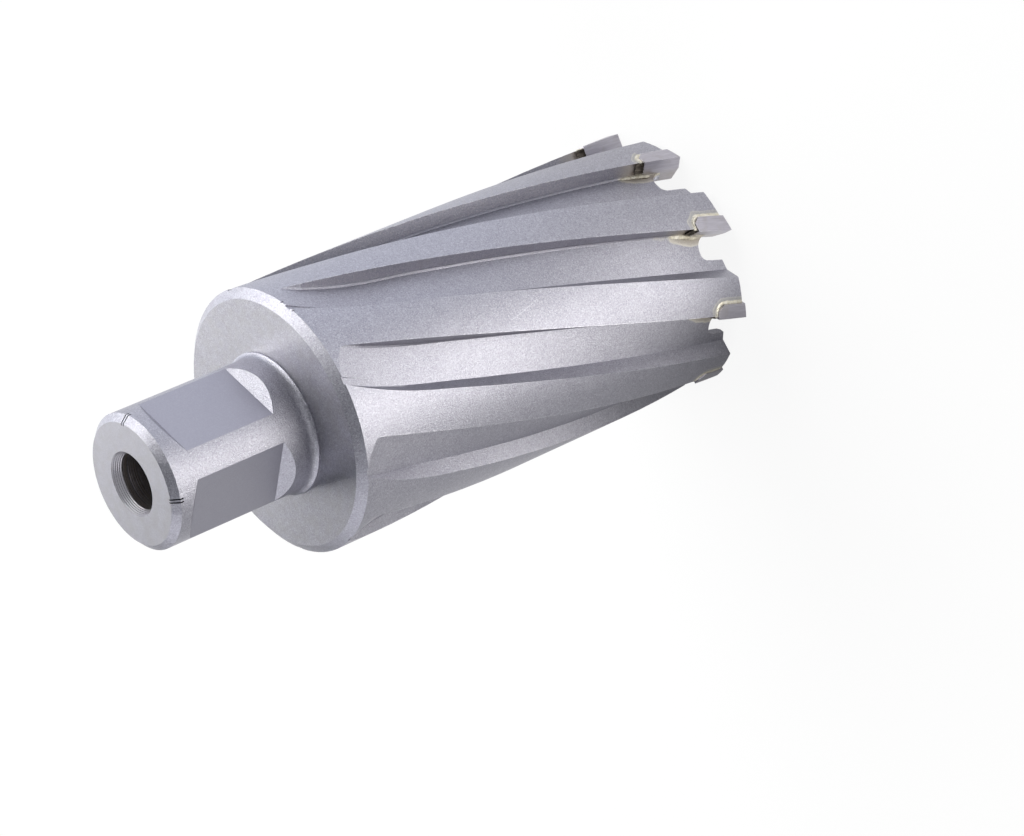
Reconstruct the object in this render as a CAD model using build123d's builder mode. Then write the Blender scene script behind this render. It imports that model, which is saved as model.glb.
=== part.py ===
from build123d import *
from math import cos, radians, sin, sqrt, tan
import os

# Annular cutter with a Weldon shank and brazed carbide teeth.
# It stands on its teeth: +Z is the axis, towards the shank end. Z is zero at the tooth points.

# Whole cutter
cutting_diameter = 38.0
overall_length = 93.1
side_clearance = 0.25
tooth_count = 9
tooth_pitch = 360 / tooth_count
first_tooth_angle = 5.0

# Shank
shank_diameter = 19.05
shank_length = 21.9
shank_chamfer = 0.95
root_fillet_radius = 1.3

# Ring between the shank and the shoulder
ring_rise = 0.575
ring_length = 1.35

# Weldon flats, cut with sloping ends
flat_cut = 1.525
flat_near_end = 4.1
flat_far_end = 18.1
flat_angles = (45, -45)

# Pairs of score marks across the shank's chamfer, at these angles past each flat's middle
score_angles = (20.7, 23.5)
score_width = 0.16
score_depth = 0.1

# Pilot bore
bore_radius = 4.0
countersink_width = 0.53
countersink_depth = 1.3

# Shoulder
shoulder_chamfer_width = 1.28
shoulder_chamfer_height = 1.03

# Small nicks in the shoulder's outer edge
nick_angles = (46.9, 50.5, 54.0)
nick_size = 0.55
nick_depth = 0.18

# Cup: its inner end lies web_thickness below the shoulder
wall_thickness = 3.35
web_thickness = 11.85
cup_mouth_bevel = 0.7
cup_corner_bevel = 1.2

# Flutes: right-hand helix, so many degrees of turn for each millimetre up the axis
helix_rate = 0.873
flute_cut = 2.0
flute_floor_span = 19.3
flute_mouth_span = 22.0
flute_root_bevel = 0.2
section_tilt = 22.0
straight_sections = 8

# Run-outs: the flutes rise out of the body just below the shoulder, along the arc of their wheel
runout_length = 15.15
runout_wheel_radius = 50.0
lifted_sections = 6

# Step along the back wall's foot, which deepens towards the run-out's end
step_width = 1.05
step_depth = 0.2
step_length = 5.4
step_overcut = 0.06

# Tooth ends
land_end_height = 1.12
primary_relief = 4.0
secondary_relief = 13.0
relief_break = 5.8
land_end_reach = 9.6

# Gullets in front of the teeth
gullet_width = 3.7
gullet_depth = 4.95
gullet_root_radius = 1.2
gullet_tooth_radius = 1.7

# Carbide tips
tip_proud = 0.42
tip_thickness = 2.27
tip_length = 5.55
tip_inner_overhang = 0.2
tip_corner_clip = 1.0
tip_point_inset = 2.0
tip_outer_drop = 0.15
tip_inner_drop = 0.76
tip_relief = 9.0

# Braze gap between a tip and its seat
braze_gap = 0.35
seat_corner_radius = 1.5

# Tied values
tip_outer_radius = cutting_diameter / 2
body_radius = tip_outer_radius - side_clearance
shank_radius = shank_diameter / 2
shank_root = overall_length - shank_length
shoulder_height = shank_root - ring_length
chamfer_foot = shoulder_height - shoulder_chamfer_height
flat_distance = shank_radius - flat_cut
cup_inner_radius = body_radius - wall_thickness
cup_depth = shoulder_height - web_thickness
tip_inner_radius = cup_inner_radius - tip_inner_overhang
tip_point_radius = tip_outer_radius - tip_point_inset
helix_slope = radians(helix_rate) * body_radius
clear = 2.0


# Blank: shank, ring, shoulder and cup turned in one profile
root_ring_radius = shank_radius + ring_rise
ring_sweep = sqrt(root_fillet_radius**2 - (root_fillet_radius - ring_rise) ** 2)
ring_edge = shank_root - ring_sweep
half_rise = root_fillet_radius - sqrt(root_fillet_radius**2 - (ring_sweep / 2) ** 2)

with BuildPart() as blank:
    with BuildSketch(Plane.XZ) as turned:
        with BuildLine():
            Polyline(
                (bore_radius, overall_length - countersink_depth),
                (bore_radius + countersink_width, overall_length),
                (shank_radius - shank_chamfer, overall_length),
                (shank_radius, overall_length - shank_chamfer),
                (shank_radius, shank_root),
            )
            ThreePointArc(
                (shank_radius, shank_root),
                (shank_radius + half_rise, shank_root - ring_sweep / 2),
                (root_ring_radius, ring_edge),
            )
            Polyline(
                (root_ring_radius, ring_edge),
                (root_ring_radius, shoulder_height),
                (body_radius - shoulder_chamfer_width, shoulder_height),
                (body_radius, chamfer_foot),
                (body_radius, 0),
                (cup_inner_radius + cup_mouth_bevel, 0),
                (cup_inner_radius + cup_mouth_bevel, land_end_height),
                (cup_inner_radius, land_end_height + cup_mouth_bevel),
                (cup_inner_radius, cup_depth - cup_corner_bevel),
                (cup_inner_radius - cup_corner_bevel, cup_depth),
                (bore_radius, cup_depth),
                (bore_radius, overall_length - countersink_depth),
            )
        make_face()
    revolve(axis=Axis.Z)

    # Weldon flats
    for angle in flat_angles:
        with BuildSketch(Plane.XZ.rotated((0, 0, angle)).offset(-body_radius)) as flat:
            with BuildLine():
                Polyline(
                    (flat_distance, overall_length - flat_near_end),
                    (flat_distance + clear, overall_length - flat_near_end + clear),
                    (flat_distance + clear, overall_length - flat_far_end - clear),
                    (flat_distance, overall_length - flat_far_end),
                    close=True,
                )
            make_face()
        extrude(amount=2 * body_radius, mode=Mode.SUBTRACT)

    # Score marks
    for angle in [flat_angle + score_angle for flat_angle in flat_angles for score_angle in score_angles]:
        with BuildSketch(Plane.XZ.rotated((0, 0, angle))) as score:
            with BuildLine():
                Polyline(
                    (shank_radius - shank_chamfer - score_depth, overall_length),
                    (shank_radius + clear, overall_length + clear),
                    (shank_radius, overall_length - shank_chamfer - score_depth),
                    close=True,
                )
            make_face()
        extrude(amount=score_width / 2, both=True, mode=Mode.SUBTRACT)

    # Nicks
    with Locations((0, 0, chamfer_foot)):
        for angle in nick_angles:
            with PolarLocations(body_radius + nick_size / sqrt(2) - nick_depth, 1, start_angle=angle):
                Box(nick_size, nick_size, nick_size, rotation=(0, 0, 45), mode=Mode.SUBTRACT)


# Flute: lofted through sections that follow the helix. In the run-out they rise along the leading wall
half_floor = radians(flute_floor_span / 2)
back_edge = radians(flute_mouth_span - flute_floor_span / 2)
tilt = radians(section_tilt)
section_scale = 1 / (cos(tilt) + helix_slope * sin(tilt))
lead_slope = section_scale * tan(half_floor)
floor_height = (body_radius - flute_cut) * cos(half_floor)
back_foot = (-lead_slope * floor_height, floor_height)
back_top = (-section_scale * body_radius * sin(back_edge), body_radius * cos(back_edge))
back_slope = (back_top[0] - back_foot[0]) / (back_top[1] - back_foot[1])
flute_top = body_radius + clear
runout_start = shoulder_height - runout_length
straight_gap = (runout_start + clear) / straight_sections
straight_stations = [straight_gap * step - clear for step in range(straight_sections)]
lift_gap = (runout_length + clear) / lifted_sections
lifted_stations = [runout_start + lift_gap * step for step in range(lifted_sections + 1)]


def section_plane(station):
    """Plane of a flute's section at this height, square to the helix"""
    turn = radians(helix_rate * station) - half_floor
    side = (-sin(turn) * cos(tilt), cos(turn) * cos(tilt), -sin(tilt))
    ahead = (sin(turn) * sin(tilt), -cos(turn) * sin(tilt), -cos(tilt))
    return Plane(origin=(0, 0, station), x_dir=side, z_dir=ahead)


def floor_corner(station):
    """Corner of the floor and the back wall at this height, in the section's plane"""
    along = max(0.0, station - runout_start) / cos(tilt)
    lift = runout_wheel_radius - sqrt(runout_wheel_radius**2 - along**2)
    return back_foot[0] + lift * lead_slope, floor_height + lift


with BuildPart() as flute:
    for station in straight_stations + lifted_stations:
        back, floor = floor_corner(station)
        with BuildSketch(section_plane(station)) as section:
            with BuildLine():
                Polyline(
                    (floor * lead_slope, floor),
                    (flute_top * lead_slope, flute_top),
                    (back + (flute_top - floor) * back_slope, flute_top),
                    (back, floor),
                    close=True,
                )
            make_face()
            chamfer(section.vertices().group_by(Axis.Y)[0].sort_by(Axis.X)[-1], flute_root_bevel)
    loft()

# Step in the run-out's floor
step_start = chamfer_foot - step_length
step_stations = [step_start - step_length, step_start, chamfer_foot, chamfer_foot + clear]
with BuildPart() as step:
    for station in step_stations:
        back, floor = floor_corner(station)
        drop = step_depth * (station - step_start) / step_length
        inner = back - drop * back_slope - step_overcut
        with BuildSketch(section_plane(station)) as step_section:
            with BuildLine():
                Polyline(
                    (inner, floor - drop),
                    (back + step_width, floor - drop),
                    (back + step_width, floor + step_depth + step_overcut),
                    (inner, floor + step_depth + step_overcut),
                    close=True,
                )
            make_face()
    loft()


# Tooth shapes are drawn on a plane that faces the first tooth: x runs sideways and y up the axis
def skewed(points):
    """Points of a shape whose upright lines follow the helix"""
    return [(across + height * helix_slope, height) for across, height in points]


tooth_plane = Plane.YZ.offset(cup_inner_radius - clear)
tooth_reach = flute_top - cup_inner_radius + clear
tip_back = tip_thickness - tip_proud
gullet_far = -tip_proud - gullet_width
primary_rise = (relief_break - gullet_far) * tan(radians(primary_relief))
secondary_rise = (land_end_reach - relief_break) * tan(radians(secondary_relief))

# Relief faces of one land's end
with BuildPart() as land_end:
    with BuildSketch(tooth_plane) as end_outline:
        with BuildLine():
            Polyline(
                (gullet_far, -clear),
                (gullet_far, land_end_height - primary_rise),
                (relief_break, land_end_height),
                (land_end_reach, land_end_height + secondary_rise),
                (land_end_reach, -clear),
                close=True,
            )
        make_face()
    extrude(amount=tooth_reach)

# Gullet in front of one tooth
with BuildPart() as gullet:
    with BuildSketch(tooth_plane) as slot:
        with BuildLine():
            Polyline(
                skewed(
                    [
                        (-tip_proud, -clear),
                        (-tip_proud, gullet_depth),
                        (gullet_far, gullet_depth),
                        (gullet_far, -clear),
                    ]
                ),
                close=True,
            )
        make_face()
        fillet(slot.vertices().group_by(Axis.Y)[-1].sort_by(Axis.X)[-1], gullet_tooth_radius)
        fillet(slot.vertices().group_by(Axis.Y)[-1].sort_by(Axis.X)[0], gullet_root_radius)
    extrude(amount=tooth_reach)

# Seat for one tip, with a round corner
with BuildPart() as seat:
    with BuildSketch(tooth_plane) as seat_outline:
        with BuildLine():
            Polyline(
                skewed(
                    [
                        (-tip_proud, -clear),
                        (tip_back + braze_gap, -clear),
                        (tip_back + braze_gap, tip_length + braze_gap),
                        (-tip_proud, tip_length + braze_gap),
                    ]
                ),
                close=True,
            )
        make_face()
        fillet(seat_outline.vertices().group_by(Axis.Y)[-1].sort_by(Axis.X)[-1], seat_corner_radius)
    extrude(amount=tooth_reach)

# Carbide tip: block with a clipped corner, ground to a point at the end
lead_in = clear * tan(radians(tip_relief))
outer_rise = tip_outer_drop * (flute_top - tip_point_radius) / (tip_outer_radius - tip_point_radius)
inner_rise = tip_inner_drop * (tip_point_radius - bore_radius) / (tip_point_radius - tip_inner_radius)
with BuildPart() as carbide_tip:
    with BuildSketch(tooth_plane) as tip_outline:
        with BuildLine():
            Polyline(
                skewed(
                    [
                        (-tip_proud, -clear),
                        (tip_back, -clear),
                        (tip_back, tip_length - tip_corner_clip),
                        (tip_back - tip_corner_clip, tip_length),
                        (-tip_proud, tip_length),
                    ]
                ),
                close=True,
            )
        make_face()
    extrude(amount=tooth_reach)
    with BuildSketch(Plane.XY.offset(-clear)):
        Circle(tip_outer_radius)
        Circle(tip_inner_radius, mode=Mode.SUBTRACT)
    extrude(amount=2 * clear + tip_length, mode=Mode.INTERSECT)
    with BuildSketch(Plane.XZ.offset(tip_proud + clear)) as point_profile:
        with BuildLine():
            Polyline(
                (bore_radius, -2 * clear),
                (flute_top, -2 * clear),
                (flute_top, outer_rise - lead_in),
                (tip_point_radius, -lead_in),
                (bore_radius, inner_rise - lead_in),
                close=True,
            )
        make_face()
    extrude(
        amount=4 * clear,
        dir=(0, cos(radians(tip_relief)), sin(radians(tip_relief))),
        mode=Mode.SUBTRACT,
    )

# Braze: fills the gap between the tip and its seat
with BuildPart() as braze_joint:
    add(seat.part)
    add(blank.part, mode=Mode.INTERSECT)
    for cut in (flute, land_end, gullet, carbide_tip):
        add(cut.part, mode=Mode.SUBTRACT)

# Cutter body: the blank with everything cut at each tooth
teeth = PolarLocations(0, tooth_count, start_angle=first_tooth_angle)
with BuildPart() as cutter_body:
    add(blank.part)
    with teeth:
        for cut in (flute, step, land_end, gullet, seat):
            add(cut.part, mode=Mode.SUBTRACT)

os.makedirs("parts", exist_ok=True)
cutter_body.part.label = "cutter_body"
export_step(cutter_body.part, "parts/cutter_body.step")
for number, place in enumerate(teeth, start=1):
    with BuildPart() as tip_copy:
        with Locations(place):
            add(carbide_tip.part)
    tip_copy.part.label = f"carbide_tip_{number}"
    export_step(tip_copy.part, f"parts/carbide_tip_{number}.step")
    with BuildPart() as braze_copy:
        with Locations(place):
            add(braze_joint.part)
    braze_copy.part.label = f"braze_joint_{number}"
    export_step(braze_copy.part, f"parts/braze_joint_{number}.step")
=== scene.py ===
from math import cos, radians, sin, sqrt
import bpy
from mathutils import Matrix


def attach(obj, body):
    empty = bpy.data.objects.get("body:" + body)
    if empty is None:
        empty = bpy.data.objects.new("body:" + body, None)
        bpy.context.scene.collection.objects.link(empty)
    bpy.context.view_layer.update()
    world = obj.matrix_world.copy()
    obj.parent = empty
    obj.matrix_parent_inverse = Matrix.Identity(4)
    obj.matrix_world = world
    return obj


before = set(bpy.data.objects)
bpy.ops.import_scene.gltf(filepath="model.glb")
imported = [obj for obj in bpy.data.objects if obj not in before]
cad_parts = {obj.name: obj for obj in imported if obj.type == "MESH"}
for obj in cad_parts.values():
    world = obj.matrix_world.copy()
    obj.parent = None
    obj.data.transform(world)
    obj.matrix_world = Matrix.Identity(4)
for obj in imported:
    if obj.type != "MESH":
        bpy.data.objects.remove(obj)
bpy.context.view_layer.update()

from types import SimpleNamespace

import bpy
import numpy as np
from mathutils import Matrix, Vector

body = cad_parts["cutter_body"]
tips = [piece for name, piece in sorted(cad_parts.items()) if name.startswith("carbide_tip")]
joints = [piece for name, piece in sorted(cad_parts.items()) if name.startswith("braze_joint")]
tooth_count = len(tips)

# Sizes of the cutter, in mm and degrees. The helix rate is in degrees per mm of height
MM = 0.001
cutter_length = 93.1
shank_radius = 9.525
flat_distance = 8.0
flat_azimuth = 45.0
flat_bottom = 74.9
flat_top = 89.1
bore_radius = 4.0
mouth_depth = 1.25
mouth_flare = 1.3
shoulder_height = 69.85
land_radius = 18.75
floor_radius = 16.72
cup_radius = 15.4
cup_depth = 58.0
tooth_pitch = 40.0
first_tooth = 5.0
helix_rate = 0.873
tip_back = 1.85
tip_height = 5.55
tip_clip = 1.0

# What counts as lying on a surface, in mm, and the tooth whose tip has no solder or flux along its back
skin = 0.03
bare_tooth = 1


# Materials
def linear(hex_colour):
    """An sRGB hex colour as the linear RGBA that a shader takes."""
    parts = [int(hex_colour[i:i + 2], 16) / 255 for i in (1, 3, 5)]
    return (*[p / 12.92 if p <= 0.04045 else ((p + 0.055) / 1.055) ** 2.4 for p in parts], 1.0)


def node(tree, kind, settings=(), **inputs):
    """Adds a shader node. Settings are its properties, or its operation alone as text, and a ramp's stops as
    (place, colour, alpha). Inputs are values, sockets or nodes, by name, or by place as i0, i1 and so on."""
    made = tree.nodes.new("ShaderNode" + kind)
    settings = {"operation": settings} if isinstance(settings, str) else dict(settings)
    stops = settings.pop("stops", ())
    if stops:
        ramp = made.color_ramp.elements
        ramp.remove(ramp[1])
        for number, (place, colour, alpha) in enumerate(stops):
            stop = ramp.new(place) if number else ramp[0]
            stop.position = place
            stop.color = (*linear(colour)[:3], alpha)
    for name, value in settings.items():
        setattr(made, name, value)
    for name, value in inputs.items():
        key = int(name[1:]) if name[0] == "i" and name[1:].isdigit() else name.replace("_", " ")
        value = value.outputs[0] if isinstance(value, bpy.types.Node) else value
        if isinstance(value, bpy.types.NodeSocket):
            tree.links.new(value, made.inputs[key])
        else:
            made.inputs[key].default_value = value
    return made


def material(name):
    """A new material, its tree and its emptied surface output."""
    made = bpy.data.materials.new(name)
    made.use_nodes = True
    made.node_tree.nodes.clear()
    return made, made.node_tree, node(made.node_tree, "OutputMaterial")


def layered(tree, colour, layers):
    """Lays colours over a first one, each where its mask says, and returns the socket."""
    for mask, upper in layers:
        colour = node(tree, "Mix", {"data_type": "RGBA"}, i0=mask, i6=colour, i7=upper).outputs[2]
    return colour


def product(tree, *masks):
    """Masks multiplied together, so 1 only where every one of them is."""
    result = masks[0]
    for mask in masks[1:]:
        result = node(tree, "Math", "MULTIPLY", i0=result, i1=mask)
    return result


def within(tree, *ranges):
    """1 where every value lies in its range, otherwise 0. A range is (value, low, high), and None leaves
    that side of it open."""
    masks = []
    for value, low, high in ranges:
        if low is None:
            masks.append(node(tree, "Math", "LESS_THAN", i0=value, i1=high))
        elif high is None:
            masks.append(node(tree, "Math", "GREATER_THAN", i0=value, i1=low))
        else:
            masks.append(node(tree, "Math", "COMPARE", i0=value, i1=(low + high) / 2, i2=(high - low) / 2))
    return product(tree, *masks)


def cutter_place(tree):
    """Where a point lies on the cutter, in mm: the place itself, its distance from the axis, its height, its
    azimuth in radians, and how far it lies behind the leading edge of the nearest tooth, round the helix."""
    place = node(tree, "TexCoord").outputs["Object"]
    place = node(tree, "VectorMath", "SCALE", i0=place, Scale=1 / MM)
    across, along, height = node(tree, "SeparateXYZ", i0=place).outputs
    level = node(tree, "VectorMath", "MULTIPLY", i0=place, i1=(1, 1, 0))
    radius = node(tree, "VectorMath", "LENGTH", i0=level).outputs["Value"]
    azimuth = node(tree, "Math", "ARCTAN2", i0=along, i1=across)
    unwound = node(tree, "Math", "MULTIPLY_ADD", i0=height, i1=-radians(helix_rate), i2=azimuth)
    ahead_of_edge = 14  # degrees by which a tooth's share of the round starts before its edge
    edge = radians(first_tooth)
    lowest, highest = edge - radians(ahead_of_edge), edge + radians(tooth_pitch - ahead_of_edge)
    nearest = node(tree, "Math", "WRAP", i0=unwound, i1=highest, i2=lowest)
    angle = node(tree, "Math", "SUBTRACT", i0=nearest, i1=edge)
    behind = node(tree, "Math", "MULTIPLY", i0=angle, i1=radius)
    return SimpleNamespace(place=place.outputs[0], radius=radius, height=height, azimuth=azimuth,
                           behind=behind)


def wandering(tree, at):
    """A soft noise in patches of about 1 mm, by which the outlines of stains wander."""
    return node(tree, "TexNoise", Vector=at.place, Scale=0.9, Detail=2.0)


def worn_and_highlit_edges(tree, at, width):
    """1 on outer edges, in a broken line about width metres wide: rays into the metal come out there. The
    bright edges drawn with it are partly worn metal and partly painted highlight.
    """
    inwards = {"inside": True, "samples": 8, "only_local": True}
    open_metal = node(tree, "AmbientOcclusion", inwards, Distance=width)
    edge = node(tree, "MapRange", i0=open_metal.outputs["AO"], i1=0.8, i2=0.5, i3=0.0, i4=1.0)
    chips = node(tree, "TexNoise", Vector=at.place, Scale=1.3, Detail=3.0, Roughness=0.7)
    broken = node(tree, "MapRange", i0=chips, i1=0.44, i2=0.58, i3=0.0, i4=1.0)
    return product(tree, edge, broken)


def scorch_and_shade_above_tip(tree, at, wobble):
    """The flux burned on by the torch above a tip: black next to it, where the black is partly painted shade
    of the step up to the tip, then brown and cream, and gone after about 4 mm."""
    reach = 4.6
    fade = node(tree, "MapRange", i0=at.height, i1=tip_height, i2=tip_height + reach, i3=0.0, i4=1.0)
    fade = node(tree, "Math", "MULTIPLY_ADD", i0=wobble, i1=0.4, i2=fade)
    fade = node(tree, "Math", "SUBTRACT", i0=fade, i1=0.2)
    return node(tree, "ValToRGB", {"stops": [
        (0.0, "#37312C", 0.97), (0.12, "#453E38", 0.96), (0.24, "#8A8077", 0.85),
        (0.4, "#B9B1A8", 0.65), (0.62, "#B8B1A8", 0.35), (1.0, "#9A948C", 0.0),
    ]}, i0=fade)


def scorched_and_shaded_wall(tree, at, wobble):
    """The leading wall above a tip, as the mask and the colour of what the torch burned on, with the painted
    shade next to the tip.
    """
    scorch_and_shade = scorch_and_shade_above_tip(tree, at, wobble)
    wall = within(tree, (at.behind, -0.22, 0.12), (at.radius, floor_radius - 0.1, land_radius - skin),
                  (at.height, tip_height - 0.1, None))
    return product(tree, scorch_and_shade.outputs["Alpha"], wall), scorch_and_shade.outputs["Color"]


def flux_round_tip(tree, at, wobble):
    """The pale flux on the land round a tip, as a mask and a colour. It follows the tip's outline, with
    its clipped corner, and ends in a faint tide line 1 mm away. The bare tooth has none along its back."""
    rear = node(tree, "Math", "SUBTRACT", i0=at.behind, i1=tip_back)
    above = node(tree, "Math", "SUBTRACT", i0=at.height, i1=tip_height)
    clipped = node(tree, "Math", "ADD", i0=rear, i1=above)
    clipped = node(tree, "Math", "MULTIPLY_ADD", i0=clipped, i1=1 / sqrt(2), i2=tip_clip / sqrt(2))
    apart = node(tree, "Math", "SMOOTH_MAX", i0=rear, i1=above, i2=1.6)
    apart = node(tree, "Math", "SMOOTH_MAX", i0=apart, i1=clipped, i2=0.5)
    apart = node(tree, "Math", "MULTIPLY_ADD", i0=wobble, i1=0.36, i2=apart)
    apart = node(tree, "Math", "SUBTRACT", i0=apart, i1=0.24)
    flux = node(tree, "ValToRGB", {"stops": [
        (0.30, "#E9E5D6", 0.9), (0.45, "#CFCBBD", 0.65), (0.62, "#BAB8AE", 0.45),
        (0.78, "#C6C4B9", 0.5), (0.9, "#D8D5C9", 0.6), (1.0, "#C4C2BE", 0.0),
    ]}, i0=apart)
    on_land = within(tree, (at.radius, land_radius - 0.2, land_radius + 0.2), (at.behind, -0.15, None),
                     (at.behind, None, 3.4))
    patchy = node(tree, "TexNoise", Vector=at.place, Scale=0.22, Detail=1.0)
    patchy = node(tree, "MapRange", i0=patchy, i1=0.38, i2=0.6, i3=0.65, i4=1.0)
    bare_azimuth = first_tooth + tooth_pitch * bare_tooth
    bare = within(tree, (at.azimuth, radians(bare_azimuth - 5), radians(bare_azimuth + 25)),
                  (at.behind, 1.2, None), (at.height, None, 4.6))
    kept = node(tree, "Math", "SUBTRACT", i0=1.0, i1=bare)
    return product(tree, flux.outputs["Alpha"], on_land, patchy, kept), flux.outputs["Color"]


def flux_on_floor(tree, at, wobble):
    """The flux that ran over the flute's floor beside a tip, as a mask and a colour: a brown stain and a
    cream tide line, along a quarter ellipse that reaches 2 mm out from the wall and 4 mm above the tip."""
    outwards = node(tree, "MapRange", {"clamp": False}, i0=at.behind, i1=-0.25, i2=-1.95, i3=0.0, i4=1.0)
    upwards = node(tree, "MapRange", i0=at.height, i1=5.6, i2=9.6, i3=0.0, i4=1.0)
    tide = node(tree, "Math", "MULTIPLY", i0=outwards, i1=outwards)
    tide = node(tree, "Math", "MULTIPLY_ADD", i0=upwards, i1=upwards, i2=tide)
    tide = node(tree, "Math", "SQRT", i0=tide)
    tide = node(tree, "Math", "MULTIPLY_ADD", i0=wobble, i1=0.3, i2=tide)
    tide = node(tree, "Math", "SUBTRACT", i0=tide, i1=0.2)
    flux = node(tree, "ValToRGB", {"stops": [
        (0.0, "#D9D3C3", 0.9), (0.3, "#B3A896", 0.8), (0.6, "#BDB5A6", 0.7),
        (0.82, "#DAD5C8", 0.75), (0.95, "#C4C2BE", 0.0),
    ]}, i0=tide)
    on_floor = within(tree, (at.behind, -2.8, -0.1), (at.radius, floor_radius - 0.5, floor_radius + 0.45),
                      (at.height, None, 12.0))
    return product(tree, flux.outputs["Alpha"], on_floor), flux.outputs["Color"]


def ground_flats(tree, at):
    """1 on the two ground flats of the shank, which lie at one distance from the axis."""
    masks = []
    for side in (1, -1):
        normal = (cos(radians(flat_azimuth)), side * sin(radians(flat_azimuth)), 0)
        reach = node(tree, "VectorMath", "DOT_PRODUCT", i0=at.place, i1=normal).outputs["Value"]
        masks.append(within(tree, (reach, flat_distance - skin, flat_distance + skin),
                            (at.height, flat_bottom, flat_top)))
    return node(tree, "Math", "ADD", i0=masks[0], i1=masks[1])


def score_marks(tree, at):
    """1 on two pairs of score marks across the chamfer at the shank's end, a quarter turn apart."""
    pair_azimuth, mark_offset, mark_half_width, mark_length = 67.1, 1.4, 0.6, 1.2
    turned = node(tree, "Math", "ADD", i0=at.azimuth, i1=radians(180))
    aside = node(tree, "Math", "MODULO", i0=turned, i1=radians(90))
    aside = node(tree, "Math", "SUBTRACT", i0=aside, i1=radians(pair_azimuth))
    aside = node(tree, "Math", "ABSOLUTE", i0=aside)
    aside = node(tree, "Math", "SUBTRACT", i0=aside, i1=radians(mark_offset))
    return within(tree, (aside, -radians(mark_half_width), radians(mark_half_width)),
                  (at.radius, shank_radius - mark_length, shank_radius + 0.02),
                  (at.height, cutter_length - 1.45, cutter_length + 0.1),
                  (at.azimuth, radians(-30), radians(75)))


def scratch_on_land(tree, at, wobble):
    """1 on a light scratch slantwise on one land. Its place is measured along and across it from its upper
    end, on the land unrolled to a plane of mm round by mm up."""
    upper_end = (1.79, 40.69, 0.0)
    slant = (0.208, -0.978, 0.0)
    crosswise = (0.978, 0.208, 0.0)
    length, half_width = 5.9, 0.07
    round_land = node(tree, "Math", "MULTIPLY", i0=at.azimuth, i1=land_radius)
    unrolled = node(tree, "CombineXYZ", i0=round_land, i1=at.height)
    offset = node(tree, "VectorMath", "SUBTRACT", i0=unrolled, i1=upper_end)
    along = node(tree, "VectorMath", "DOT_PRODUCT", i0=offset, i1=slant).outputs["Value"]
    across = node(tree, "VectorMath", "DOT_PRODUCT", i0=offset, i1=crosswise).outputs["Value"]
    across = node(tree, "Math", "MULTIPLY_ADD", i0=wobble, i1=0.5, i2=across)
    across = node(tree, "Math", "SUBTRACT", i0=across, i1=0.25)
    return within(tree, (along, 0.0, length), (across, -half_width, half_width),
                  (at.radius, land_radius - 0.05, None))


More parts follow.
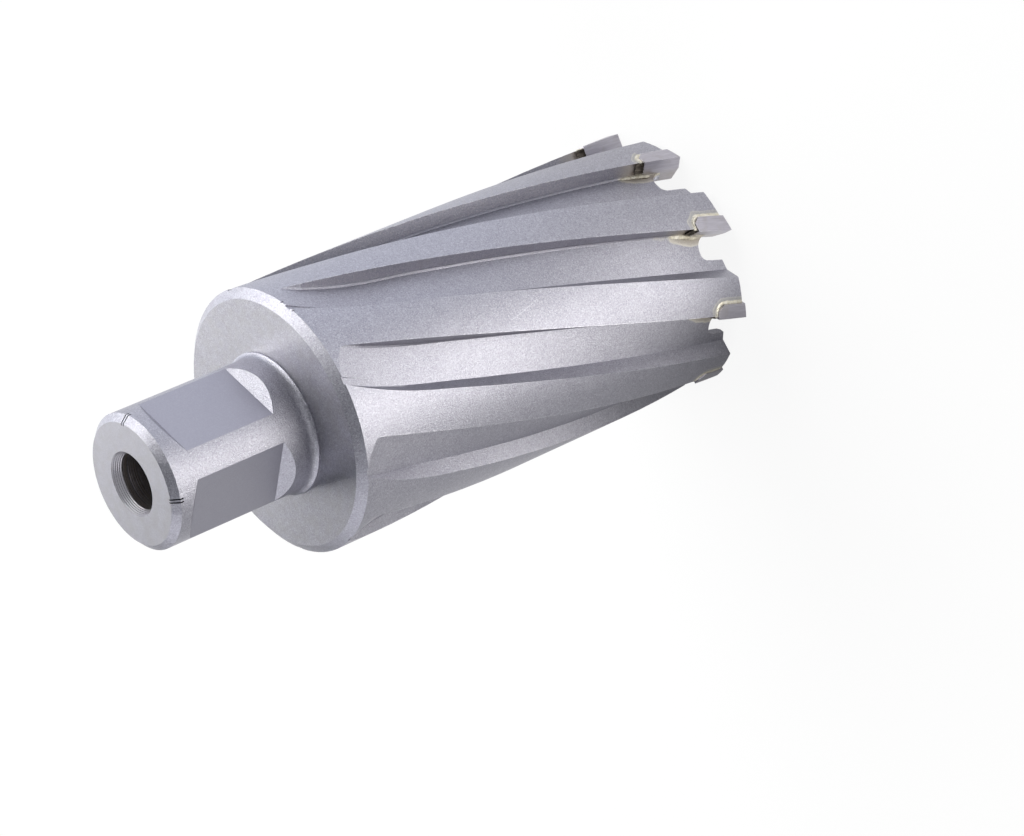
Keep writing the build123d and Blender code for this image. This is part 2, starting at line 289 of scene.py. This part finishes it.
def blasted_tool_steel():
    """Hardened high-speed steel, bead-blasted after grinding: a matte grey with a fine sparkling grain.
    The grain of about 0.1 mm is drawn 0.15 to 0.2 mm wide so that it shows. Flats and ends are ground
    smooth, bores are turned, and brazing has left flux and stains round the tips, black next to each tip
    partly as painted shade. Painted shade darkens the leading walls, most of all at their root. The edges
    are drawn bright, partly as worn metal and partly as painted highlight."""
    made, tree, out = material("bead_blasted_tool_steel")
    at = cutter_place(tree)
    wobble = wandering(tree, at)

    # Ground and turned faces
    ground = ground_flats(tree, at)
    mouth_foot = cutter_length - mouth_depth
    in_bore = within(tree, (at.radius, None, bore_radius + skin), (at.height, None, mouth_foot))
    in_cup = within(tree, (at.radius, None, cup_radius + skin), (at.height, None, cup_depth + skin))
    turned = node(tree, "Math", "MAXIMUM", i0=in_bore, i1=in_cup)
    mouth = within(tree, (at.radius, None, bore_radius + mouth_flare),
                   (at.height, mouth_foot, cutter_length - skin))
    end_face = within(tree, (at.height, cutter_length - skin, None))
    shoulder_face = within(tree, (at.height, shoulder_height - skin, shoulder_height + skin))
    level_faces = node(tree, "Math", "ADD", i0=shoulder_face, i1=end_face)
    smooth = node(tree, "Math", "MULTIPLY_ADD", i0=level_faces, i1=0.7, i2=ground)
    smooth = node(tree, "Math", {"operation": "ADD", "use_clamp": True}, i0=smooth, i1=turned)

    # Grain, its dark and light specks, clouds of some 4 mm and smudges of 2 mm
    grain = node(tree, "TexNoise", Vector=at.place, Scale=5.6, Detail=2.0, Roughness=0.7)
    facets = node(tree, "TexVoronoi", Vector=at.place, Scale=6.5).outputs["Color"]
    facets = node(tree, "SeparateXYZ", i0=facets).outputs[0]
    dark_specks = node(tree, "MapRange", i0=facets, i1=0.3, i2=0.0, i3=0.0, i4=0.5)
    light_specks = node(tree, "MapRange", i0=facets, i1=0.7, i2=1.0, i3=0.0, i4=0.42)
    cloudy = node(tree, "TexNoise", Vector=at.place, Scale=0.28, Detail=3.0)
    cloudy = node(tree, "MapRange", i0=cloudy, i1=0.35, i2=0.65, i3=0.0, i4=0.22)
    smudges = node(tree, "TexNoise", Vector=at.place, Scale=0.6, Detail=4.0)
    smudges = node(tree, "MapRange", i0=smudges, i1=0.42, i2=0.62, i3=0.0, i4=0.22)
    tone = node(tree, "ValToRGB", {"stops": [
        (0.28, "#96959F", 1), (0.5, "#A3A2AC", 1), (0.72, "#B2B1BB", 1),
    ]}, i0=grain)

    # Rings left by the turning tool. Its feed of about 0.1 mm is drawn 0.25 mm apart so that they show
    step_spacing = 0.26
    rings = node(tree, "VectorMath", "MULTIPLY", i0=at.place, i1=(0.05, 0.05, 4.0))
    rings = node(tree, "TexNoise", Vector=rings, Scale=1.0, Detail=2.0)
    turned_shade = node(tree, "MapRange", i0=rings, i1=0.35, i2=0.65, i3=0.1, i4=0.75)
    steps = node(tree, "Math", "MULTIPLY", i0=at.height, i1=2 * np.pi / step_spacing)
    steps = node(tree, "Math", "SINE", i0=steps)
    steps = node(tree, "Math", "MULTIPLY", i0=steps, i1=0.22)

    # Painted shade: the leading walls are drawn darker than the rest, most of all in the crease at their root
    walls = within(tree, (at.behind, -0.2, 0.05), (at.radius, floor_radius, land_radius - 0.02),
                   (at.height, None, shoulder_height - 6.0))
    root = within(tree, (at.radius, None, floor_radius + 0.24))
    painted_wall_shade = node(tree, "Math", "MULTIPLY_ADD", i0=root, i1=0.3, i2=0.35)
    painted_wall_shade = product(tree, walls, painted_wall_shade)

    # Stains from brazing, partly painted shade next to the tips, and bright edges where there are none,
    # partly worn metal and partly painted highlight
    halo_mask, halo_colour = flux_round_tip(tree, at, wobble)
    scorch_and_shade_mask, scorch_and_shade_colour = scorched_and_shaded_wall(tree, at, wobble)
    flux_mask, flux_colour = flux_on_floor(tree, at, wobble)
    stained = node(tree, "Math", "MAXIMUM", i0=halo_mask, i1=flux_mask)
    stained = node(tree, "Math", "MAXIMUM", i0=stained, i1=scorch_and_shade_mask)
    unstained = node(tree, "Math", "SUBTRACT", i0=1.0, i1=stained)
    rubbed_and_highlit = product(tree, worn_and_highlit_edges(tree, at, 0.00025), unstained)

    colour = layered(tree, tone.outputs["Color"], [
        (cloudy, linear("#B3B2BB")),
        (dark_specks, linear("#83828C")),
        (light_specks, linear("#CFCED6")),
        (product(tree, ground, 0.75), linear("#A09FAA")),
        (product(tree, end_face, 0.6), linear("#ABAAB3")),
        (product(tree, level_faces, smudges), linear("#999894")),
        (mouth, linear("#C0BEC5")),
        (product(tree, turned, turned_shade), linear("#A2978A")),
        # Painted shade on the leading walls, deepest at their root
        (painted_wall_shade, linear("#6B6972")),
        # Bright edges: partly worn metal, partly painted highlight
        (product(tree, rubbed_and_highlit, 0.6), linear("#E4E3E8")),
        (flux_mask, flux_colour),
        # Flux burned on the wall above each tip; its black next to the tip is partly painted shade
        (scorch_and_shade_mask, scorch_and_shade_colour),
        (halo_mask, halo_colour),
        (product(tree, scratch_on_land(tree, at, wobble), facets, 0.45), linear("#DDDCE2")),
        (score_marks(tree, at), linear("#0C0C0E")),
    ])

    # Relief: dimples of the grain outside smooth faces, rings on turned ones
    rough_faces = node(tree, "Math", "SUBTRACT", i0=1.0, i1=smooth)
    dimples = node(tree, "Math", "MULTIPLY", i0=grain, i1=rough_faces)
    relief = node(tree, "Math", "MULTIPLY_ADD", i0=rings, i1=turned, i2=dimples)
    relief = node(tree, "Math", "MULTIPLY_ADD", i0=mouth, i1=steps, i2=relief)
    bump = node(tree, "Bump", Height=relief, Strength=1.0, Distance=0.00007)

    rough = node(tree, "Math", "MULTIPLY_ADD", i0=rubbed_and_highlit, i1=-0.12, i2=0.37)
    for mask, more in ((stained, 0.1), (ground, 0.03), (level_faces, 0.08), (facets, 0.08)):
        rough = node(tree, "Math", "MULTIPLY_ADD", i0=mask, i1=more, i2=rough)
    shader = node(tree, "BsdfPrincipled", Base_Color=colour, Metallic=1.0, Roughness=rough, Normal=bump)
    tree.links.new(shader.outputs["BSDF"], out.inputs["Surface"])
    return made


def ground_carbide():
    """Cemented tungsten carbide, ground with a diamond wheel: a darker violet grey, satin, with fine wheel
    lines along the cutter and bright corners, partly broken and worn and partly painted highlight. Lines of
    some 0.01 mm are drawn 0.1 mm apart."""
    made, tree, out = material("ground_tungsten_carbide")
    at = cutter_place(tree)
    drawn = node(tree, "CombineXYZ", i0=at.behind, i1=at.radius, i2=at.height)
    drawn = node(tree, "VectorMath", "MULTIPLY", i0=drawn, i1=(6.0, 6.0, 0.4))
    lines = node(tree, "TexNoise", Vector=drawn, Scale=1.0, Detail=3.0)
    cloud = node(tree, "TexNoise", Vector=at.place, Scale=0.6, Detail=3.0)
    tone = node(tree, "ValToRGB", {"stops": [
        (0.3, "#ABA8B1", 1), (0.5, "#B4B1BA", 1), (0.7, "#BDBAC3", 1),
    ]}, i0=lines)
    smear = node(tree, "MapRange", i0=cloud, i1=0.52, i2=0.7, i3=0.0, i4=0.3)
    edges = worn_and_highlit_edges(tree, at, 0.00018)
    upper, lower = floor_radius + 0.5, floor_radius - 0.3
    foot = node(tree, "MapRange", i0=at.radius, i1=upper, i2=lower, i3=0.0, i4=0.25)
    foot_of_rake = product(tree, foot, within(tree, (at.behind, None, 0.1)))
    colour = layered(tree, tone.outputs["Color"], [
        (smear, linear("#9B948F")),
        (foot_of_rake, linear("#C2BBAA")),
        # Bright corners: partly worn, partly painted highlight
        (product(tree, edges, 0.6), linear("#E6E4E6")),
    ])
    bump = node(tree, "Bump", Height=lines, Strength=0.25, Distance=0.00003)
    rough = node(tree, "Math", "MULTIPLY_ADD", i0=cloud, i1=0.16, i2=0.3)
    shader = node(tree, "BsdfPrincipled", Base_Color=colour, Metallic=1.0, Roughness=rough, Normal=bump)
    tree.links.new(shader.outputs["BSDF"], out.inputs["Surface"])
    return made


def flowed_solder():
    """Silver solder as it froze, under a film of flux: pale cream, lumpy at about 0.5 mm, with a few brown
    flecks. In the corner above a tip, where the torch played, the flux has burned to a dark brown, and the
    corner is darkened further with painted shade."""
    made, tree, out = material("flowed_silver_solder")
    at = cutter_place(tree)
    lumps = node(tree, "TexNoise", Vector=at.place, Scale=1.9, Detail=2.0, Roughness=0.5)
    flecks = node(tree, "TexNoise", Vector=at.place, Scale=1.4, Detail=2.0)
    tone = node(tree, "ValToRGB", {"stops": [
        (0.3, "#CFC8B7", 1), (0.5, "#DFDACB", 1), (0.7, "#EBE7DD", 1),
    ]}, i0=lumps)
    brown = node(tree, "MapRange", i0=flecks, i1=0.6, i2=0.75, i3=0.0, i4=0.45)
    burnt_and_shaded = scorch_and_shade_above_tip(tree, at, wandering(tree, at))
    lowest, highest = floor_radius + 0.15, floor_radius + 0.55
    off_floor = node(tree, "MapRange", i0=at.radius, i1=lowest, i2=highest, i3=0.0, i4=1.0)
    in_corner = within(tree, (at.behind, -1.2, 0.06), (at.radius, None, land_radius - 0.02))
    in_corner = product(tree, in_corner, off_floor)
    upper, lower = floor_radius + 0.9, floor_radius + 0.3
    at_foot = node(tree, "MapRange", i0=at.radius, i1=upper, i2=lower, i3=0.0, i4=1.0)
    stain = node(tree, "MapRange", i0=flecks, i1=0.42, i2=0.62, i3=0.0, i4=0.35)
    colour = layered(tree, tone.outputs["Color"], [
        (brown, linear("#A39882")),
        (product(tree, at_foot, stain), linear("#9C917E")),
        # Flux burned on above the tip; its black next to the tip is partly painted shade
        (product(tree, burnt_and_shaded.outputs["Alpha"], in_corner), burnt_and_shaded.outputs["Color"]),
        # Darker still in the corner above the tip: burned flux and painted shade of the step
        (product(tree, in_corner, 0.4), linear("#38322D")),
    ])
    bump = node(tree, "Bump", Height=lumps, Strength=0.4, Distance=0.00008)
    rough = node(tree, "Math", "MULTIPLY_ADD", i0=in_corner, i1=0.25, i2=0.42)
    rough = node(tree, "Math", "MULTIPLY_ADD", i0=at_foot, i1=0.2, i2=rough)
    shader = node(tree, "BsdfPrincipled", Base_Color=colour, Metallic=1.0, Roughness=rough, Normal=bump)
    tree.links.new(shader.outputs["BSDF"], out.inputs["Surface"])
    return made


steel = blasted_tool_steel()
carbide = ground_carbide()
solder = flowed_solder()
body.material_slots[0].material = steel
for piece in tips:
    piece.material_slots[0].material = carbide
for piece in joints:
    piece.material_slots[0].material = solder


# Solder that stands proud of the joints
def on_cutter(tooth, behind, height, radius):
    """Points in metres: at that distance behind a tooth's leading edge (measured round the land), that
    height and that distance from the axis, all in mm. The azimuth turns with the height along the helix."""
    azimuth = np.radians(first_tooth + tooth_pitch * tooth + helix_rate * height) + behind / land_radius
    return np.stack([radius * np.cos(azimuth), radius * np.sin(azimuth), height], 1) * MM


def evenly(points, count):
    """Points at even distances along a broken line: each column is interpolated over the length."""
    steps = np.linalg.norm(np.diff(points, axis=0), axis=1)
    length = np.concatenate([[0], np.cumsum(steps)])
    places = np.linspace(0, length[-1], count)
    return np.stack([np.interp(places, length, column) for column in points.T], 1)


def bead(path, outward, width, rise, dice):
    """A closed bead along a path, as points, four-sided faces and its two end faces. Each ring is the path's
    point, plus cos v times half the width sideways, plus sin v cubed times the rise outwards, so that the
    bead's edges run out flat. Both shrink towards the ends as the root of 1 - t**6, with t from -1 to 1 along
    the path, and swell and narrow along the way by four sines with random phases."""
    sides, swelling, narrowest_end = 16, 0.05, 0.02
    count = len(path)
    t = np.linspace(-1, 1, count)
    across = np.cross(np.gradient(path, axis=0), outward)
    across /= np.linalg.norm(across, axis=1)[:, None]
    ends = np.sqrt(np.maximum(1 - t ** 6, narrowest_end))
    waves = sum(np.sin(t * n * np.pi + dice.uniform(0, 6.28)) for n in (3, 5, 8, 13))
    swell = ends * (1 + swelling * waves)
    v = np.linspace(0, 2 * np.pi, sides, endpoint=False)
    side = np.cos(v)[None, :, None] * across[:, None, :] * (width / 2 * swell)[:, None, None]
    up = np.sin(v)[None, :, None] ** 3 * outward[:, None, :] * (rise * swell)[:, None, None]
    points = (path[:, None, :] + side + up).reshape(-1, 3)
    ring, spoke = np.meshgrid(np.arange(count - 1), np.arange(sides), indexing="ij")
    near, far = ring * sides, (ring + 1) * sides
    after = (spoke + 1) % sides
    quads = np.stack([near + spoke, near + after, far + after, far + spoke], 2).reshape(-1, 4)
    last_ring = np.arange((count - 1) * sides, count * sides)
    caps = np.stack([np.arange(sides)[::-1], last_ring])
    return points, quads, caps


def solder_beads(tooth):
    """The collar of solder round a tip's outline on the land, the fillet along its foot in the flute, and the
    one across the leading wall that fills the step up to the tip's face. Each is sunk a little into what it
    lies on. On the bare tooth the collar leaves out the tip's back."""
    dice = np.random.default_rng(40 + tooth)
    sunk = 0.03
    seam = tip_back + 0.12
    top = tip_height + 0.12

    # The collar runs up behind the tip, round a bend and forward over its top
    bend = 1.4
    collar_rings = 90
    collar_foot = 4.3 if tooth == bare_tooth else 1.0
    turn = np.radians(np.linspace(0, 90, 14))
    behind = np.concatenate([[seam], seam - bend + bend * np.cos(turn), [-0.1]])
    height = np.concatenate([[collar_foot], top - bend + bend * np.sin(turn), [top]])
    outline = evenly(np.stack([behind, height], 1), collar_rings)
    collar = on_cutter(tooth, outline[:, 0], outline[:, 1], np.full(collar_rings, land_radius - sunk))

    # The fillet's route down the foot of the wall and of the tip: behind, height and depth in the floor
    fillet_rings = 80
    route = np.array([(-0.08, 9.0, sunk), (-0.14, 7.4, sunk), (-0.28, 6.3, sunk), (-0.56, 5.4, sunk),
                      (-0.62, 4.6, 2 * sunk)])
    route = evenly(route, fillet_rings)
    fillet = on_cutter(tooth, route[:, 0], route[:, 1], floor_radius - route[:, 2])

    # The step's filling runs out from the flute's floor to the land, and faces forwards
    step_rings = 40
    step_height = tip_height + 0.07
    rim = np.linspace(floor_radius + 0.1, land_radius + 0.02, step_rings)
    step = on_cutter(tooth, np.full(step_rings, 2 * sunk), np.full(step_rings, step_height), rim)
    azimuth = radians(first_tooth + tooth_pitch * tooth + helix_rate * top)
    forwards = np.tile([sin(azimuth), -cos(azimuth), 0.0], (step_rings, 1))

    # The three beads, each as its path, the way it faces, its width and its rise, these two in mm
    points, faces = np.empty((0, 3)), []
    for path, outward, width, rise in (
        (collar, collar * (1, 1, 0), 0.8, 0.15),
        (fillet, fillet * (1, 1, 0), 0.95, 0.2),
        (step, forwards, 2.3, 0.42),
    ):
        outward = outward / np.linalg.norm(outward, axis=1)[:, None]
        more, quads, caps = bead(path, outward, width * MM, rise * MM, dice)
        faces += (quads + len(points)).tolist() + (caps + len(points)).tolist()
        points = np.concatenate([points, more])
    mesh = bpy.data.meshes.new(f"solder_bead_{tooth + 1}")
    mesh.from_pydata(points.tolist(), [], faces)
    mesh.materials.append(solder)
    mesh.shade_smooth()
    piece = bpy.data.objects.new(mesh.name, mesh)
    bpy.context.scene.collection.objects.link(piece)
    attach(piece, "root")


for tooth in range(tooth_count):
    solder_beads(tooth)


# Camera, at the photograph's viewing angle. Its place is in mm
camera_place = Vector((411.06, 36.32, 318.77)) * MM
camera_right = Vector((0.56264, -0.34589, -0.75086))
camera_up = Vector((0.12357, 0.93325, -0.33731))
camera_back = Vector((0.81741, 0.09700, 0.56783))
lens = bpy.data.cameras.new("camera")
lens.lens = 126.93
lens.sensor_width = 36.0
lens.clip_start = 0.01
lens.clip_end = 50.0
camera = bpy.data.objects.new("camera", lens)
bpy.context.scene.collection.objects.link(camera)
turn = Matrix((camera_right, camera_up, camera_back)).transposed()
camera.matrix_world = Matrix.Translation(camera_place) @ turn.to_4x4()
bpy.context.scene.camera = camera


# Floor and light
def floor():
    """A wide sheet of white paper. To the camera and in reflections most of its white is its own. Reflections
    see it dimmer round one azimuth, and most of all near the cutter: painted shadow, standing in for the
    cutter's shadow on the floor there."""
    own_white = 0.9
    dim_azimuth = radians(-85)
    half = 15.0
    made, tree, out = material("white_paper")
    paper = node(tree, "BsdfDiffuse", Color=linear("#FAFAFA"))
    ray = node(tree, "LightPath").outputs
    place = node(tree, "TexCoord").outputs["Object"]
    direction = node(tree, "VectorMath", "NORMALIZE", i0=place)
    distance = node(tree, "VectorMath", "LENGTH", i0=place).outputs["Value"]
    # Painted shadow, seen only in reflections: darkest near the cutter and round dim_azimuth
    darkest = node(tree, "MapRange", i0=distance, i1=0.025, i2=0.07, i3=0.75, i4=0.3)
    dim = node(tree, "VectorMath", "DOT_PRODUCT", i0=direction, i1=(cos(dim_azimuth), sin(dim_azimuth), 0))
    dim = node(tree, "MapRange", i0=dim.outputs["Value"], i1=0.35, i2=0.85, i3=0.0, i4=darkest)
    dim = node(tree, "Math", "MULTIPLY", i0=dim, i1=ray["Is Glossy Ray"])
    strength = node(tree, "Math", "SUBTRACT", i0=1.0, i1=dim)
    glow = node(tree, "Emission", Color=linear("#FFFFFF"), Strength=strength)
    seen = node(tree, "Math", "ADD", i0=ray["Is Camera Ray"], i1=ray["Is Glossy Ray"])
    seen = node(tree, "Math", "ADD", i0=seen, i1=ray["Is Transmission Ray"])
    share = node(tree, "Math", "MULTIPLY", i0=seen, i1=own_white)
    shader = node(tree, "MixShader", i0=share, i1=paper, i2=glow)
    tree.links.new(shader.outputs[0], out.inputs["Surface"])
    mesh = bpy.data.meshes.new("floor")
    corners = [(-half, -half, 0), (half, -half, 0), (half, half, 0), (-half, half, 0)]
    mesh.from_pydata(corners, [], [(0, 1, 2, 3)])
    mesh.materials.append(made)
    plane = bpy.data.objects.new("floor", mesh)
    bpy.context.scene.collection.objects.link(plane)


def soft_box(name, centre, turned, size, radiance, colour):
    """A rectangular soft box that shines along its own -Z. Its power gives the named radiance."""
    lamp = bpy.data.lights.new(name, "AREA")
    lamp.shape = "RECTANGLE"
    lamp.size, lamp.size_y = size
    lamp.energy = radiance * size[0] * size[1] * np.pi
    lamp.color = colour
    box = bpy.data.objects.new(name, lamp)
    box.location = centre
    box.rotation_mode = "QUATERNION"
    box.rotation_quaternion = turned
    box.visible_camera = False
    bpy.context.scene.collection.objects.link(box)


def lit_from(name, azimuth, elevation, distance, size, radiance, colour):
    """A soft box that faces the cutter's middle from that azimuth and elevation, in degrees."""
    middle = Vector((0, 0, 0.045))
    turn, rise = radians(azimuth), radians(elevation)
    place = Vector((cos(rise) * cos(turn), cos(rise) * sin(turn), sin(rise))) * distance
    soft_box(name, place + middle, place.to_track_quat("Z", "Y"), size, radiance, colour)


def floor_card(name, azimuth, near, far, width, radiance, colour):
    """A bounce card just above the floor that shines upwards, from near to far along that azimuth."""
    turn = radians(azimuth)
    middle, lift = (near + far) / 2, 0.0005
    flipped = Matrix.Rotation(turn, 3, "Z") @ Matrix.Rotation(np.pi, 3, "X")
    place = Vector((middle * cos(turn), middle * sin(turn), lift))
    soft_box(name, place, flipped.to_quaternion(), (far - near, width), radiance, colour)


floor()

# Lamps: azimuth and elevation in degrees, distance and size in metres, radiance and colour.
# Left and right are the cutter's own, as it stands on its teeth and faces the camera
lit_from("key_light", 111, 47, 0.8, (0.64, 0.4), 6.8, (1.0, 1.0, 0.96))
lit_from("back_light", 165, 26, 0.8, (0.45, 0.4), 5.0, (1.0, 1.0, 0.96))
lit_from("side_light", 130, 8, 0.8, (0.9, 0.2), 1.5, (0.9, 0.97, 1.12))
lit_from("far_light", 250, 36, 0.8, (0.4, 0.6), 1.3, (0.97, 0.98, 1.03))
floor_card("front_card_near", -18, 0.028, 0.085, 0.042, 1.5, (1.0, 0.98, 0.92))
floor_card("front_card_middle", -14, 0.085, 0.18, 0.07, 4.1, (1.0, 0.98, 0.92))
floor_card("front_card_far", -14, 0.18, 0.34, 0.14, 4.0, (1.0, 0.98, 0.92))
lit_from("front_light", -8, 25, 0.8, (0.8, 0.24), 1.6, (1.0, 0.99, 0.97))
lit_from("right_light", -95, 27, 0.8, (0.9, 0.26), 1.9, (1.0, 0.99, 0.97))
floor_card("left_card", 83, 0.05, 0.35, 0.3, 0.25, (0.8, 0.95, 1.35))

# The room gives a little bluish light from all round
world = bpy.data.worlds.new("room")
bpy.context.scene.world = world
world.use_nodes = True
world.node_tree.nodes["Background"].inputs["Color"].default_value = (0.14, 0.15, 0.165, 1)
world.node_tree.nodes["Background"].inputs["Strength"].default_value = 1.0

bpy.context.scene.view_settings.view_transform = "Standard"
